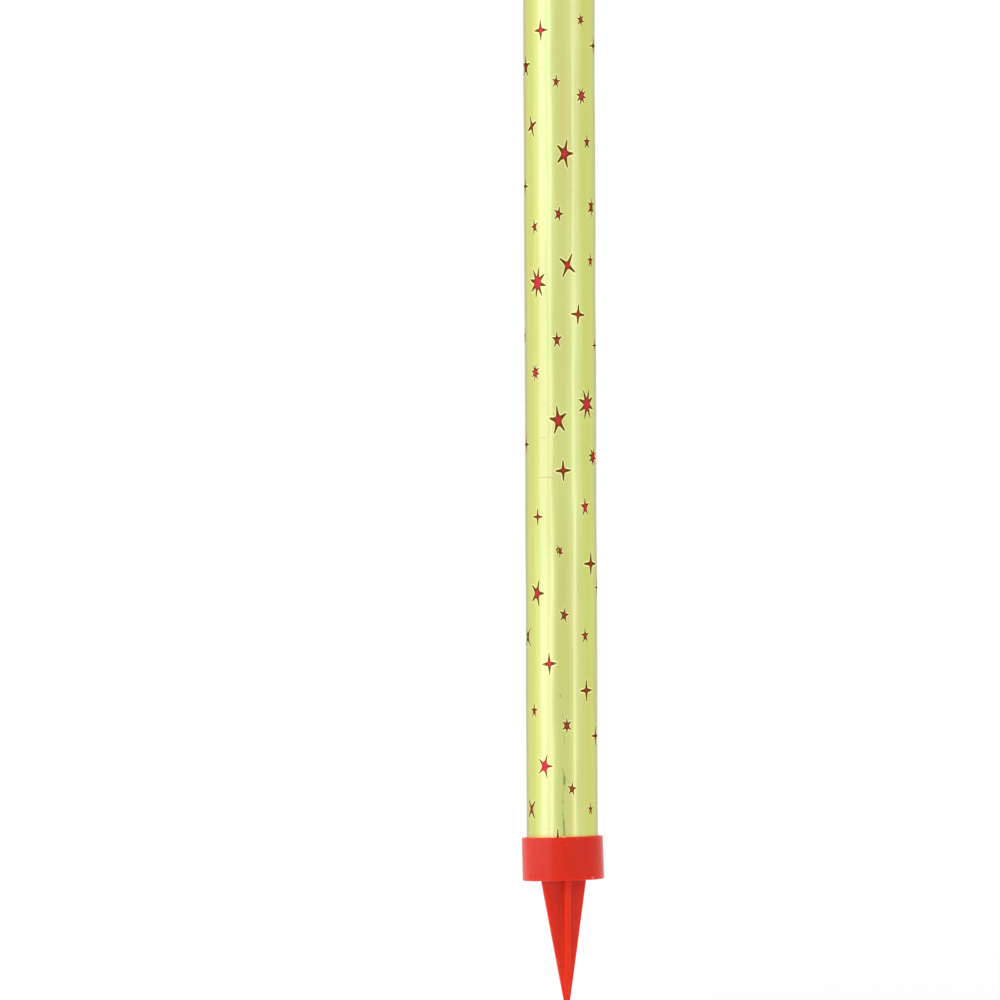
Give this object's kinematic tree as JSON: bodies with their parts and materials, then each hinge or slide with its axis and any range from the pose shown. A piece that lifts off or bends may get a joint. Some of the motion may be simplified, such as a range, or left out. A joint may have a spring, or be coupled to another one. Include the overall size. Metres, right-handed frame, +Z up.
{
  "type": "cake fountain sparkler",
  "caption": "Slim firework fountain tube in starred metallic film, push-fitted into a red plastic cup on a finned spike that stands it in a cake.",
  "frame": {"origin": "centre of the cup's flat underside, the plane that comes to rest on top of the cake", "axes": "+Z up the tube towards the fuse, -Z down the spike, -Y the front, which one fin of the spike faces"},
  "size_m": [0.0162, 0.0162, 0.25],
  "materials": {
    "red_plastic": "satin",
    "printed_film": "gloss",
    "kraft_paper": "matte",
    "clay": "matte",
    "spark_composition": "matte",
    "starter_composition": "matte",
    "grey_card": "matte",
    "fuse_thread": "satin",
    "fuse_powder": "matte"
  },
  "bodies": {
    "holder": {"spike_base": "red_plastic"},
    "cartridge": {"paper_tube": "kraft_paper", "foil_wrap": "printed_film", "base_plug": "clay", "spark_charge": "spark_composition", "starter_charge": "starter_composition", "top_washer": "grey_card", "fuse_jacket": "fuse_thread", "fuse_core": "fuse_powder"}
  },
  "joints": [
    {"name": "cartridge_lift", "type": "slide", "parent": "holder", "child": "cartridge", "axis": [0, 0, 1], "range_m": [0, 0.015]}
  ]
}
